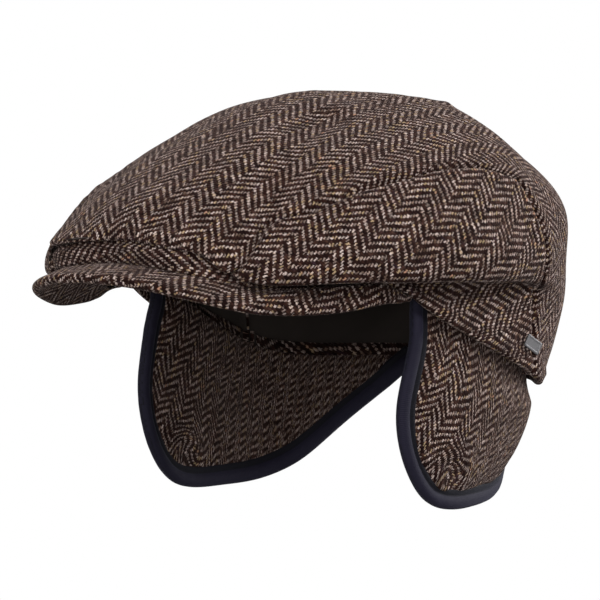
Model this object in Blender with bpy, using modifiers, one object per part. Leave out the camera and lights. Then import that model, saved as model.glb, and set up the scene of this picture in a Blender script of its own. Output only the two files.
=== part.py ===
"""A herringbone flat cap with two hanging earflaps.

Metres, +Z up. The peak points along -Y and the wearer's left is +X. The origin is the middle of the
head opening, at the height of the rim above the ears.
"""
from math import cos, radians, sin

import bmesh
import bpy
import numpy as np

# Driving dimensions
MM = 0.001
CLOTH = 0.0016            # thickness of the tweed wall
SEAM_GAP = 0.0026         # half the gap between two panels, in crown map units (about 0.3 mm)
PEAK_THICKNESS = 0.0042
PEAK_SEAT_GAP = 0.0014    # the crown's foot stands this far above the peak
FLAP_THICKNESS = 0.0042
FLAP_INSET = 0.0032       # the flap hangs this far inside the foot of the wall
FLAP_TUCK = 0.0070        # how far the flap reaches up behind the rim
FLAP_LEAN = 0.0050        # the flap's lower edge leans in towards the neck
FLAP_LEAN_HEIGHT = -0.035
FLAP_LEAN_REACH = 0.052
REAR_LEAN = 0.38          # behind the ear the flap leans in this much for each metre down
REAR_LEAN_HEIGHT = -0.046
REAR_LEAN_ANGLES = (86, 42)   # it begins at the first angle and is full after the second one more
FLAP_RADIUS = 0.085       # mean radius of the flap, which turns its angles into lengths
BINDING_WIDTH = 0.0064
BINDING_THICKNESS = 0.0050
PIECE_GAP = 0.0004
PLATE_LENGTH = 0.0088
PLATE_WIDTH = 0.0053
PLATE_THICKNESS = 0.0008
PLATE_NOTCH = 0.0008
CROWN_HEIGHT = 0.0820     # top of the crown above the origin

# The crown is measured on radial sections. Each row is one section on the wearer's left: its angle from
# the peak in degrees, then in millimetres the distance from the axis and the height of seven levels. They
# go from the foot of the wall through the tuck, the lip of the overhanging fold and the fold's side to the
# bulge, the shoulder and the upper crown. LEVELS gives their radius on the flat map.
LEVELS = (1.00, 0.90, 0.85, 0.80, 0.70, 0.52, 0.30, 0.0)
SECTIONS = (
    # angle, foot, tuck, lip, fold, bulge, shoulder, upper
    (0, 124.5, 17.0, 126.0, 23.8, 126.2, 26.2, 124.3, 30.0, 116.7, 38.5, 87.5, 55.3, 43.8, 75.9),
    (17, 122.6, 13.5, 123.8, 21.2, 124.0, 23.4, 120.8, 27.8, 112.8, 36.0, 86.5, 54.5, 43.4, 75.4),
    (22, 117.2, 11.8, 116.5, 16.6, 120.6, 15.8, 119.7, 23.2, 111.2, 34.2, 85.9, 53.8, 43.4, 75.1),
    (27, 110.0, 9.6, 109.8, 13.2, 118.0, 10.4, 119.4, 18.5, 109.5, 32.2, 85.3, 53.0, 43.4, 74.8),
    (38, 98.5, 8.3, 100.5, 13.5, 112.0, 8.0, 114.5, 14.8, 106.8, 29.7, 83.6, 51.6, 43.7, 74.1),
    (52, 89.3, 6.4, 91.6, 12.2, 104.8, 8.2, 109.8, 13.8, 104.0, 29.5, 82.4, 51.5, 44.1, 73.4),
    (62, 86.2, 3.6, 89.6, 10.4, 101.2, 8.4, 105.2, 12.8, 101.5, 28.8, 82.4, 52.4, 44.5, 73.6),
    (70, 84.9, -1.2, 88.6, 9.2, 98.8, 8.5, 102.1, 12.4, 100.1, 28.5, 82.5, 53.3, 44.7, 73.7),
    (90, 83.0, -15.6, 87.2, 6.8, 95.6, 7.2, 99.5, 12.9, 98.6, 28.5, 83.6, 55.9, 46.0, 75.4),
    (112, 89.2, -30.8, 92.0, 2.9, 97.1, 4.9, 100.5, 14.0, 99.6, 30.2, 83.8, 57.5, 46.7, 78.2),
    (123, 92.4, -37.0, 95.9, -3.8, 99.1, 3.8, 101.4, 14.3, 100.3, 32.1, 80.2, 59.2, 48.5, 78.5),
    (134, 91.6, -39.4, 99.9, -10.3, 101.9, 2.7, 102.9, 14.3, 102.0, 33.6, 77.6, 60.9, 50.4, 78.5),
    (158, 98.4, -39.5, 106.5, -12.2, 109.8, 0.7, 109.4, 13.3, 109.3, 32.6, 84.5, 61.2, 50.9, 78.6),
    (180, 102.4, -40.1, 110.1, -12.0, 113.1, 1.0, 114.1, 13.0, 111.0, 31.1, 88.8, 59.0, 50.2, 77.6),
)

# Soft dents in the crown. Each row is one dent: angle and map radius of its two ends, width and depth. A
# dent of negative depth is a swelling.
DENTS = (
    # from angle, from radius, to angle, to radius, width, depth
    (41, 0.30, 27, 0.78, 0.10, 0.0035),
    (-20, 0.42, -32, 0.74, 0.10, 0.0025),
    (78, 0.66, 100, 0.70, 0.07, 0.0015),
    (150, 0.42, 168, 0.66, 0.12, 0.0018),
    (20, 0.02, 30, 0.10, 0.09, -0.0014),
    (122, 0.15, 145, 0.245, 0.06, 0.0013),
    (-56, 0.54, -39, 0.43, 0.09, 0.0012),
)

# Side seam on the left: angle and map radius. It runs from the front band back to the corner, and from
# there down to the rim.
SIDE_SEAM = (
    (24, 0.862), (27, 0.800), (29, 0.731), (31.5, 0.668), (37, 0.645),
    (47.6, 0.594), (64.8, 0.545), (76.2, 0.528), (90, 0.536), (103.5, 0.577),
)
REAR_SEAM = (
    (103.5, 0.577), (106.0, 0.635), (107.8, 0.72), (109.5, 0.80), (113, 0.88), (116.5, 0.95), (117, 1.0),
)
# Stitched front edge of the top panel on the left: angle and map radius
FRONT_EDGE = ((0, 0.884), (4, 0.888), (8.5, 0.902), (12, 0.912), (15.5, 0.911), (19.7, 0.890), (24, 0.862))
BAND_FOOT_ANGLE = 21.5
BAND_DROP = 0.022         # the band's top lies this far below the stitched edge, in map units

# Front edge of the peak on the left: angle from the front, distance from the axis and height
PEAK_EDGE = (
    (0.0, 0.1408, 0.0101), (8.3, 0.1394, 0.0090), (14.7, 0.1364, 0.0063), (20.6, 0.1308, 0.0027),
    (26.9, 0.1204, -0.0016), (37.3, 0.1075, -0.0042), (47.6, 0.0966, -0.0034), (60.4, 0.0888, -0.0002),
    (64.5, 0.0866, 0.0006),
)
# Root of the peak, sewn into the front of the head opening
PEAK_ROOT = (
    (0.0, 0.1010, 0.0180), (17.0, 0.0990, 0.0165), (27.0, 0.0945, 0.0132), (38.0, 0.0920, 0.0066),
    (52.0, 0.0862, 0.0018), (64.5, 0.0825, -0.0008),
)
PEAK_HALF_ANGLE = 64.5

# Outline of the left earflap: angle from the peak and height. The front edge runs down, the lower edge
# round the ear lobe and back up towards the nape.
FLAP_FRONT = (
    (67.6, 0.0), (66.4, -0.0165), (63.8, -0.0320), (63.3, -0.0436), (64.6, -0.0580), (68.8, -0.0710),
)
FLAP_LOWER = (
    (68.8, -0.0710), (76.8, -0.0822), (88.8, -0.0867), (102.0, -0.0866), (116.0, -0.0850), (132.0, -0.0770),
    (144.0, -0.0640), (155.0, -0.0500), (166.0, -0.0350),
)
FLAP_REAR_HEIGHT = 0.0025

PLATE_ANGLE = 114.0
PLATE_LEVEL = 0.973
PLATE_FACING = 91.0       # where the plate's face points, measured from the peak, and how far it looks down
PLATE_DOWN = 4.0
PLATE_TILT = 38.0
PLATE_STAND = 0.0013      # its middle stands this far off the cloth

COLOURS = {
    # slot: base colour, roughness, metallic
    "tweed": ((0.125, 0.098, 0.075), 0.95, 0.0),
    "binding": ((0.022, 0.022, 0.038), 0.70, 0.0),
    "plate": ((0.36, 0.37, 0.38), 0.35, 1.0),
}


def spline_weights(knots):
    """Matrix that turns a natural cubic spline's values into its second derivatives."""
    count = len(knots)
    step = np.diff(knots)
    left = np.eye(count)
    right = np.zeros((count, count))
    for i in range(1, count - 1):
        left[i, i - 1:i + 2] = step[i - 1], 2 * (step[i - 1] + step[i]), step[i]
        right[i, i - 1:i + 2] = 6 / step[i - 1], -6 / step[i - 1] - 6 / step[i], 6 / step[i]
    return np.linalg.solve(left, right)


def spline(knots, values, where):
    """Natural cubic spline through values at knots, read at each place in where."""
    knots = np.asarray(knots, float)
    values = np.asarray(values, float).reshape(len(knots), -1)
    where = np.asarray(where, float)
    bend = spline_weights(knots) @ values
    i = np.clip(np.searchsorted(knots, where) - 1, 0, len(knots) - 2)
    step = (knots[i + 1] - knots[i])[:, None]
    a = (knots[i + 1] - where)[:, None] / step
    b = 1 - a
    curved = ((a ** 3 - a) * bend[i] + (b ** 3 - b) * bend[i + 1]) * step ** 2 / 6
    return a * values[i] + b * values[i + 1] + curved


def mirrored_table(rows):
    """Angles and values of a table given for one side, repeated round the whole crown."""
    table = np.array(rows, float)
    angles, values = table[:, 0], table[:, 1:]
    around = np.concatenate([-angles[:0:-1], angles, 360 - angles[-2:0:-1]])
    return around, np.concatenate([values[:0:-1], values, values[-2:0:-1]])


def section_values(angles):
    """The section table read at any angles in degrees."""
    around, values = mirrored_table(SECTIONS)
    return spline(around, values * MM, (np.asarray(angles) + 180) % 360 - 180)


def dent_depth(points):
    """How deep the soft dents are at each map point."""
    depth = np.zeros(len(points))
    for angle_a, radius_a, angle_b, radius_b, width, deepest in DENTS:
        start = map_point(angle_a, radius_a)
        run = map_point(angle_b, radius_b) - start
        along = np.clip(((points - start) @ run) / (run @ run), 0, 1)
        away = np.linalg.norm(points - start - along[:, None] * run, axis=1)
        depth += deepest * np.exp(-(away / width) ** 2 * 2.5)
    return depth


def map_point(angle, radius):
    """A place on the crown's flat map: the apex is (0, 0) and the foot of the wall is the unit circle."""
    return np.array((radius * sin(radians(angle)), -radius * cos(radians(angle))))


def crown(points):
    """Crown surface for map points (n, 2)."""
    points = np.asarray(points, float)
    radius = np.hypot(points[:, 0], points[:, 1])
    angle = np.degrees(np.arctan2(points[:, 0], -points[:, 1]))
    here, beyond = section_values(angle), section_values(angle + 180)
    knots = np.array((-LEVELS[-2],) + LEVELS[::-1])
    out = np.column_stack([-beyond[:, -2], np.zeros(len(points)), here[:, -2::-2]])
    up = np.column_stack([beyond[:, -1], np.full(len(points), CROWN_HEIGHT), here[:, ::-2]])
    weights = spline_weights(knots)
    i = np.clip(np.searchsorted(knots, radius) - 1, 0, len(knots) - 2)
    row = np.arange(len(points))
    step = knots[i + 1] - knots[i]
    a = (knots[i + 1] - radius) / step
    b = 1 - a
    levels = []
    for value in (out, up):
        bend = value @ weights.T
        levels.append(a * value[row, i] + b * value[row, i + 1]
                      + ((a ** 3 - a) * bend[row, i] + (b ** 3 - b) * bend[row, i + 1]) * step ** 2 / 6)
    turn = np.radians(angle)
    place = np.column_stack([levels[0] * np.sin(turn), -levels[0] * np.cos(turn), levels[1]])
    return place * (1 - dent_depth(points) / np.linalg.norm(place, axis=1))[:, None]


def even_run(rows, count, bunch=1.0):
    """count points spread evenly along a smooth line through the rows' points."""
    rows = np.array(rows, float)
    reach = np.concatenate([[0], np.cumsum(np.linalg.norm(np.diff(rows, axis=0), axis=1))])
    fine = spline(reach, rows, np.linspace(0, reach[-1], 200))
    length = np.concatenate([[0], np.cumsum(np.linalg.norm(np.diff(fine, axis=0), axis=1))])
    wanted = np.linspace(0, 1, count) ** bunch * length[-1]
    return np.column_stack([np.interp(wanted, length, fine[:, k]) for k in range(rows.shape[1])])


def shifted(line, distance):
    """A map line moved sideways by a distance, to its right as it runs."""
    run = np.gradient(line, axis=0)
    run /= np.linalg.norm(run, axis=1)[:, None]
    return line + distance * np.column_stack([run[:, 1], -run[:, 0]])


def patch(bottom, top, start, end):
    """Coons patch between four lines. bottom and top run from start to end."""
    s = np.linspace(0, 1, len(bottom))[None, :, None]
    t = np.linspace(0, 1, len(start))[:, None, None]
    across = (1 - t) * bottom[None] + t * top[None]
    along = (1 - s) * start[:, None] + s * end[:, None]
    corners = ((1 - s) * (1 - t) * bottom[0] + s * (1 - t) * bottom[-1]
               + (1 - s) * t * top[0] + s * t * top[-1])
    return across + along - corners


def arc(from_angle, to_angle, radius, count):
    """Map points along a level line of the crown."""
    return np.array([map_point(angle, radius) for angle in np.linspace(from_angle, to_angle, count)])


def seam_line(rows, count, bunch=1.0):
    return even_run([map_point(*row) for row in rows], count, bunch)


def grid_object(name, points, slot, side=1):
    """Open surface of quads from a grid of points (rows, columns, 3). side -1 mirrors it in X."""
    rows, columns = points.shape[:2]
    places = points.reshape(-1, 3) * (side, 1, 1)
    faces = []
    for j in range(rows - 1):
        for i in range(columns - 1):
            a = j * columns + i
            faces.append((a, a + 1, a + columns + 1, a + columns)[::side])
    return mesh_object(name, places, faces, slot)


def mesh_object(name, places, faces, slot):
    mesh = bpy.data.meshes.new(name)
    mesh.from_pydata([tuple(place) for place in places], [], faces)
    mesh.shade_smooth()
    mesh.materials.append(material(slot))
    piece = bpy.data.objects.new(name, mesh)
    parts.objects.link(piece)
    return piece


def outward(piece):
    """Turn a closed mesh's faces outward."""
    work = bmesh.new()
    work.from_mesh(piece.data)
    bmesh.ops.recalc_face_normals(work, faces=work.faces)
    work.to_mesh(piece.data)
    work.free()


def material(slot):
    if slot in bpy.data.materials:
        return bpy.data.materials[slot]
    colour, roughness, metallic = COLOURS[slot]
    made = bpy.data.materials.new(slot)
    made.use_nodes = True
    shader = made.node_tree.nodes["Principled BSDF"]
    shader.inputs["Base Color"].default_value = (*colour, 1.0)
    shader.inputs["Roughness"].default_value = roughness
    shader.inputs["Metallic"].default_value = metallic
    return made


def thicken(piece, thickness):
    """Give an open surface its wall, on the inner side."""
    shell = piece.modifiers.new("wall", "SOLIDIFY")
    shell.thickness = thickness
    shell.offset = -1.0
    shell.use_rim = True


def on_crown(points):
    shape = points.shape[:-1]
    return crown(points.reshape(-1, 2)).reshape(shape + (3,))


def side_boundary(count_top, count_rear):
    """The top panel's left edge: the side seam, then the rear seam, as one line with a corner."""
    front = shifted(seam_line(SIDE_SEAM, count_top), -SEAM_GAP)
    rear = shifted(seam_line(REAR_SEAM, count_rear), -SEAM_GAP)
    return np.concatenate([front[:-1], [(front[-1] + rear[0]) / 2], rear[1:]])


def front_edge(angles, drop=0.0):
    """Map points along the stitched front edge, or a little below it."""
    table = np.array(FRONT_EDGE)
    around = np.concatenate([-table[:0:-1, 0], table[:, 0]])
    levels = spline(around, np.concatenate([table[:0:-1, 1], table[:, 1]]), angles)[:, 0] + drop
    return np.array([map_point(angle, level) for angle, level in zip(angles, levels)])


def crown_top_panel():
    across, front_count, rear_count = 29, 22, 14
    left = side_boundary(front_count, rear_count)
    right = left * (-1, 1)
    edge_angle = np.degrees(np.arctan2(left[0, 0], -left[0, 1]))
    front = front_edge(np.linspace(-edge_angle, edge_angle, across))
    front[0], front[-1] = right[0], left[0]
    rear_angle = np.degrees(np.arctan2(left[-1, 0], -left[-1, 1]))
    rear = arc(360 - rear_angle, rear_angle, 1.0, across)
    points = patch(front, rear, right, left)
    thicken(grid_object("crown_top_panel", on_crown(points), "tweed"), CLOTH)


def side_panel(name, side):
    along, up = 24, 16
    top = shifted(seam_line(SIDE_SEAM, along), 1.4 * SEAM_GAP)
    rear = shifted(seam_line(REAR_SEAM, up), 1.4 * SEAM_GAP)[::-1]
    top[-1] = rear[-1] = (top[-1] + rear[-1]) / 2
    rear_angle = np.degrees(np.arctan2(rear[0, 0], -rear[0, 1]))
    foot = arc(BAND_FOOT_ANGLE + 0.4, rear_angle, 1.0, along)
    front = even_run([foot[0], top[0]], up)
    rear[0] = foot[-1]
    points = patch(foot, top, front, rear)
    thicken(grid_object(name, on_crown(points), "tweed", side), CLOTH)


def front_band():
    across, up = 19, 4
    foot = arc(-BAND_FOOT_ANGLE, BAND_FOOT_ANGLE, 1.0, across)
    top = front_edge(np.linspace(-BAND_FOOT_ANGLE, BAND_FOOT_ANGLE, across), BAND_DROP)
    points = patch(foot, top, even_run([foot[0], top[0]], up), even_run([foot[-1], top[-1]], up))
    thicken(grid_object("front_band", on_crown(points), "tweed"), CLOTH)


def polar(values, angles):
    """Points from distance and height columns at angles in degrees."""
    turn = np.radians(angles)
    return np.column_stack([values[:, 0] * np.sin(turn), -values[:, 0] * np.cos(turn), values[:, 1]])


def half_table(rows, angles):
    """A table given for one side, read at angles on either side."""
    table = np.array(rows)
    return spline(table[:, 0], table[:, 1:], angles)


def peak():
    """Arched peak: its upper face runs from the root under the crown's foot to the front edge."""
    columns = 29
    angles = np.linspace(-PEAK_HALF_ANGLE, PEAK_HALF_ANGLE, columns)
    turned = np.abs(angles)
    edge = half_table(PEAK_EDGE, turned)
    root = half_table(PEAK_ROOT, turned)
    foot = section_values(angles)[:, :2]
    thickness = PEAK_THICKNESS * (0.35 + 0.65 * np.clip((PEAK_HALF_ANGLE - turned) / 12, 0, 1))
    seat = foot[:, 1] - PEAK_SEAT_GAP * (1 + np.clip((turned - 12) / 15, 0, 1)) - thickness / 2
    share = (foot[:, 0] - CLOTH / 2 - root[:, 0]) / (edge[:, 0] - root[:, 0])
    arch = (seat - root[:, 1] - share * (edge[:, 1] - root[:, 1])) / (4 * share * (1 - share))
    middle = []
    for b in (0.0, 0.25, 0.5, 0.75, 0.94):
        line = root + b * (edge - root)
        line[:, 1] += 4 * b * (1 - b) * arch
        middle.append(polar(line, angles))
    middle = np.array(middle)
    run = np.gradient(middle, axis=0)
    sweep = np.gradient(middle, axis=1)
    normal = np.cross(sweep, run)
    normal *= (np.sign(normal[..., 2]) / np.linalg.norm(normal, axis=2))[..., None]
    half = (thickness / 2)[None, :, None] * normal
    upper, lower = middle + half, middle - half
    nose = polar(edge, angles)
    ring = np.concatenate([upper, [nose], lower[::-1]])
    count = len(ring)
    places = ring.transpose(1, 0, 2).reshape(-1, 3)
    faces = []
    for j in range(columns - 1):
        for i in range(count):
            k = (i + 1) % count
            faces.append((j * count + i, j * count + k, (j + 1) * count + k, (j + 1) * count + i))
    faces.append(tuple(range(count)))
    faces.append(tuple(range((columns - 1) * count, columns * count)))
    outward(mesh_object("peak", places, faces, "tweed"))


def flap_surface(points, inward=0.0):
    """Middle of the flap for angle and height points (n, 2). inward moves towards the head."""
    angle, height = points[:, 0], points[:, 1]
    lean = FLAP_LEAN * np.clip((FLAP_LEAN_HEIGHT - height) / FLAP_LEAN_REACH, 0, 1) ** 1.5
    behind = np.clip((angle - REAR_LEAN_ANGLES[0]) / REAR_LEAN_ANGLES[1], 0, 1)
    behind = behind * behind * (3 - 2 * behind)
    lean += behind * (REAR_LEAN * np.clip(REAR_LEAN_HEIGHT - height, 0, 1) - lean)
    distance = section_values(angle)[:, 0] - FLAP_INSET - FLAP_THICKNESS / 2 - lean - inward
    return polar(np.column_stack([distance, height]), angle)


def scaled_run(rows, count):
    """even_run in true lengths: angles are turned to arc length about the flap's mean radius first."""
    scale = np.array((radians(1) * FLAP_RADIUS, 1.0))
    return even_run(np.array(rows) * scale, count) / scale


def inset_outline(distance, count):
    """The flap's free edge moved inside by a distance. It starts and ends behind the rim."""
    start = (FLAP_FRONT[0][0], section_values([FLAP_FRONT[0][0]])[0, 1] + FLAP_TUCK)
    line = scaled_run((start,) + FLAP_FRONT + FLAP_LOWER[1:], count)
    scale = np.array((radians(1) * FLAP_RADIUS, 1.0))
    run = np.gradient(line * scale, axis=0)
    run /= np.linalg.norm(run, axis=1)[:, None]
    return line + distance * np.column_stack([-run[:, 1], run[:, 0]]) / scale


def earflap(name, side):
    """Padded tweed inside the binding, thickest in the middle."""
    columns, rows = 15, 15
    outline = inset_outline(BINDING_WIDTH + PIECE_GAP, 121)
    below_top = outline[:, 1] < section_values(outline[:, 0])[:, 1] + FLAP_TUCK - FLAP_REAR_HEIGHT
    outline = outline[np.flatnonzero(below_top)]
    corner = len(outline) // 3
    top_angles = np.linspace(outline[0, 0], outline[-1, 0], columns)
    top = np.column_stack([top_angles, section_values(top_angles)[:, 1] + FLAP_TUCK])
    fore = scaled_run(np.concatenate([[top[0]], outline[:corner:6], [outline[corner]]]), rows)
    back = np.linspace(top[-1], outline[-1], rows)
    lower = scaled_run(np.concatenate([outline[corner:-1:6], [outline[-1]]]), columns)
    points = patch(top, lower, fore, back)
    flat = points.reshape(-1, 2)
    s, t = np.meshgrid(np.linspace(0, 1, columns), np.linspace(0, 1, rows))
    fill = 0.55 + 0.45 * np.clip(np.minimum(np.minimum(s, 1 - s) * 5, (1 - t) * 5), 0, 1) ** 0.5
    half = fill.ravel() * FLAP_THICKNESS / 2
    outer, inner = flap_surface(flat, -half), flap_surface(flat, half)
    places = np.concatenate([outer, inner]) * (side, 1, 1)
    count = columns * rows
    faces = []
    for j in range(rows - 1):
        for i in range(columns - 1):
            a = j * columns + i
            b = a + columns
            faces.append((a, a + 1, b + 1, b))
            faces.append((a + count, b + count, b + 1 + count, a + 1 + count))
    rim = ([i for i in range(columns)] + [j * columns + columns - 1 for j in range(1, rows)]
           + [(rows - 1) * columns + i for i in range(columns - 2, -1, -1)]
           + [j * columns for j in range(rows - 2, 0, -1)])
    for k, a in enumerate(rim):
        b = rim[(k + 1) % len(rim)]
        faces.append((a, b, b + count, a + count))
    outward(mesh_object(name, places, faces, "tweed"))


def flap_binding(name, side):
    """Folded tape round the flap's free edge, swept as a rounded section."""
    stations, sides = 44, 8
    middle = inset_outline(BINDING_WIDTH / 2, stations)
    centre = flap_surface(middle)
    tangent = np.gradient(centre, axis=0)
    tangent /= np.linalg.norm(tangent, axis=1)[:, None]
    turn = np.radians(middle[:, 0])
    outward_way = np.column_stack([np.sin(turn), -np.cos(turn), np.zeros(stations)])
    sideways = np.cross(outward_way, tangent)
    sideways /= np.linalg.norm(sideways, axis=1)[:, None]
    thick = np.cross(tangent, sideways)
    places = []
    for k in range(stations):
        for j in range(sides):
            a = 2 * np.pi * (j + 0.5) / sides
            wide = np.sign(cos(a)) * abs(cos(a)) ** 0.6 * BINDING_WIDTH / 2
            deep = np.sign(sin(a)) * abs(sin(a)) ** 0.6 * BINDING_THICKNESS / 2
            places.append(centre[k] + wide * sideways[k] + deep * thick[k])
    faces = []
    for k in range(stations - 1):
        for j in range(sides):
            n = (j + 1) % sides
            faces.append((k * sides + j, k * sides + n, (k + 1) * sides + n, (k + 1) * sides + j))
    faces.append(tuple(range(sides)))
    faces.append(tuple(range((stations - 1) * sides, stations * sides)))
    outward(mesh_object(name, np.array(places) * (side, 1, 1), faces, "binding"))


def badge_plate():
    """Small flat plate with a notch in each short end, just off the cloth at the left rear."""
    centre = crown([map_point(PLATE_ANGLE, PLATE_LEVEL)])[0]
    facing, down = radians(PLATE_FACING), radians(PLATE_DOWN)
    normal = np.array((sin(facing) * cos(down), -cos(facing) * cos(down), -sin(down)))
    level = np.cross((0, 0, 1), normal)
    level /= np.linalg.norm(level)
    upright = np.cross(normal, level)
    tilt = radians(-PLATE_TILT)
    long_way = cos(tilt) * level + sin(tilt) * upright
    short_way = np.cross(normal, long_way)
    half_long, half_wide, notch = PLATE_LENGTH / 2, PLATE_WIDTH / 2, PLATE_NOTCH
    outline = (
        (-half_long, -half_wide), (half_long, -half_wide), (half_long, -notch), (half_long - notch, 0),
        (half_long, notch), (half_long, half_wide), (-half_long, half_wide), (-half_long, notch),
        (-half_long + notch, 0), (-half_long, -notch),
    )
    places = []
    for height in (PLATE_STAND, PLATE_STAND + PLATE_THICKNESS):
        places += [centre + a * long_way + b * short_way + height * normal for a, b in outline]
    count = len(outline)
    faces = [tuple(range(count)), tuple(range(count, 2 * count))]
    faces += [(i, (i + 1) % count, (i + 1) % count + count, i + count) for i in range(count)]
    plate = mesh_object("badge_plate", places, faces, "plate")
    plate.data.shade_flat()
    outward(plate)


for old in list(bpy.data.objects):
    bpy.data.objects.remove(old)
parts = bpy.data.collections.new("flat_cap")
bpy.context.scene.collection.children.link(parts)

crown_top_panel()
front_band()
peak()
for word, side in (("left", 1), ("right", -1)):
    side_panel(f"side_panel_{word}", side)
    earflap(f"earflap_{word}", side)
    flap_binding(f"flap_binding_{word}", side)
badge_plate()
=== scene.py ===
"""Looks of a herringbone flat cap with two hanging earflaps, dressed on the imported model.

Metres, +Z up. The peak points along -Y and the wearer's left is +X, as in the frame.
"""
from math import cos, pi, radians, sin

import bmesh
import bpy
import numpy as np
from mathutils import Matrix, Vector, noise


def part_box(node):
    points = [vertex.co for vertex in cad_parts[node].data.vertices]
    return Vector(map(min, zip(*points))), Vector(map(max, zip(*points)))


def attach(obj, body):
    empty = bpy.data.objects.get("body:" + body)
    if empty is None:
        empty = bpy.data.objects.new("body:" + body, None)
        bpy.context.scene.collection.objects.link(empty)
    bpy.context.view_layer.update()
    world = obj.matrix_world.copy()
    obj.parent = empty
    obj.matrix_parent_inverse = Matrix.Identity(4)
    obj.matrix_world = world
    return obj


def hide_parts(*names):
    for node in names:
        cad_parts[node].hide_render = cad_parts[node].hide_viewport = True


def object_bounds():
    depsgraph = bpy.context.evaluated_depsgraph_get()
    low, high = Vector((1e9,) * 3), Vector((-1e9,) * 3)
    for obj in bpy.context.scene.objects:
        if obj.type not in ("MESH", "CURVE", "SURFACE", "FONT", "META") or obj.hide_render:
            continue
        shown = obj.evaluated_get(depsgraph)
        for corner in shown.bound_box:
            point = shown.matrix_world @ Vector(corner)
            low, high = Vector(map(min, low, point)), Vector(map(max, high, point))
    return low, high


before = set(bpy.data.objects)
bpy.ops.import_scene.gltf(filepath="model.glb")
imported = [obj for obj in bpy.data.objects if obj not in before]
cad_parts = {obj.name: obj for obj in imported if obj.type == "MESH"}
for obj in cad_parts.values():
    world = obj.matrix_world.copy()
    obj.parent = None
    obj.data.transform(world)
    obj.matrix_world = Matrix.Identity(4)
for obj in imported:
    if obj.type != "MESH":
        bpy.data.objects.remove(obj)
cad_low, cad_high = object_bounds()

MM = 0.001
SMALLEST = 1e-12

# The photograph's camera
CAMERA_AZIMUTH = 42.0
CAMERA_ELEVATION = 3.2
CAMERA_DISTANCE = 2.0
CAMERA_LENS = 288.0
CAMERA_SENSOR = 36.0
ORIGIN_PIXEL = (320.0, 290.7)  # where the frame's origin shows
PICTURE_MIDDLE = 300.0
PIXELS_PER_METRE = 2400.0
FLOOR_DROP = 0.10  # the floor lies this far below the flaps
FLOOR_SIZE = 60.0
FLOOR_SHADE = 0.25
SURROUND_LIGHT = 0.60
LAMPS = (
    # name, metres towards the camera, to its right and up, size, power
    ("key", 1.15, 0.60, 0.68, 0.35, 17.5), ("low", 1.40, -0.10, 0.12, 0.40, 9.5),
    ("left", 0.80, -1.25, 0.50, 0.50, 11.0), ("rear", -0.70, 1.40, 0.60, 0.80, 40.0),
    ("top", 0.20, -0.50, 1.50, 0.90, 5.0),
)

# The crown, as in the solids: radial sections on the wearer's left. Each row is the angle from the peak in
# degrees, then in millimetres the distance from the axis and the height of seven levels. LEVELS are their
# places on the crown's flat map, from the foot to the apex.
CROWN_HEIGHT = 0.0820
LEVELS = (1.00, 0.90, 0.85, 0.80, 0.70, 0.52, 0.30, 0.0)
SECTIONS = (
    # angle, foot, tuck, lip, fold, bulge, shoulder, upper
    (0, 124.5, 17.0, 126.0, 23.8, 126.2, 26.2, 124.3, 30.0, 116.7, 38.5, 87.5, 55.3, 43.8, 75.9),
    (17, 122.6, 13.5, 123.8, 21.2, 124.0, 23.4, 120.8, 27.8, 112.8, 36.0, 86.5, 54.5, 43.4, 75.4),
    (22, 117.2, 11.8, 116.5, 16.6, 120.6, 15.8, 119.7, 23.2, 111.2, 34.2, 85.9, 53.8, 43.4, 75.1),
    (27, 110.0, 9.6, 109.8, 13.2, 118.0, 10.4, 119.4, 18.5, 109.5, 32.2, 85.3, 53.0, 43.4, 74.8),
    (38, 98.5, 9.2, 100.5, 13.5, 112.0, 8.0, 114.5, 14.8, 106.8, 29.7, 83.6, 51.6, 43.7, 74.1),
    (52, 89.3, 8.8, 91.6, 12.2, 104.8, 8.2, 109.8, 13.8, 104.0, 29.5, 82.4, 51.5, 44.1, 73.4),
    (62, 86.2, 6.2, 89.6, 10.4, 101.2, 8.4, 105.2, 12.8, 101.5, 28.8, 82.4, 52.4, 44.5, 73.6),
    (70, 84.9, -0.8, 88.6, 9.2, 98.8, 8.5, 102.1, 12.4, 100.1, 28.5, 82.5, 53.3, 44.7, 73.7),
    (90, 83.0, -15.6, 87.2, 6.8, 95.6, 7.2, 99.5, 12.9, 98.6, 28.5, 83.6, 55.9, 46.0, 75.4),
    (112, 89.2, -30.8, 92.0, 2.9, 97.1, 4.9, 100.5, 14.0, 99.6, 30.2, 83.8, 57.5, 46.7, 78.2),
    (123, 92.4, -37.0, 95.9, -3.8, 99.1, 3.8, 101.4, 14.3, 100.3, 32.1, 80.2, 59.2, 48.5, 78.5),
    (134, 91.6, -39.4, 99.9, -10.3, 101.9, 2.7, 102.9, 14.3, 102.0, 33.6, 77.6, 60.9, 50.4, 78.5),
    (158, 98.4, -39.5, 106.5, -12.2, 109.8, 0.7, 109.4, 13.3, 109.3, 32.6, 84.5, 61.2, 50.9, 78.6),
    (180, 102.4, -40.1, 110.1, -12.0, 113.1, 1.0, 114.1, 13.0, 111.0, 31.1, 88.8, 59.0, 50.2, 77.6),
)
RIGHT_FRONT = (
    # the first columns at the wearer's right front, which is a little fuller and hangs lower
    (17, 125.0, 13.5, 126.2, 21.2, 126.2, 23.4, 121.4, 27.8),
    (22, 120.6, 11.8, 121.2, 18.6, 121.8, 20.6, 119.6, 24.8),
    (27, 113.5, 9.6, 114.0, 14.6, 118.0, 11.6, 118.4, 19.0),
    (38, 98.5, 8.3), (52, 89.3, 6.4), (62, 86.2, 3.6), (70, 84.9, -1.2),
)
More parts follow.
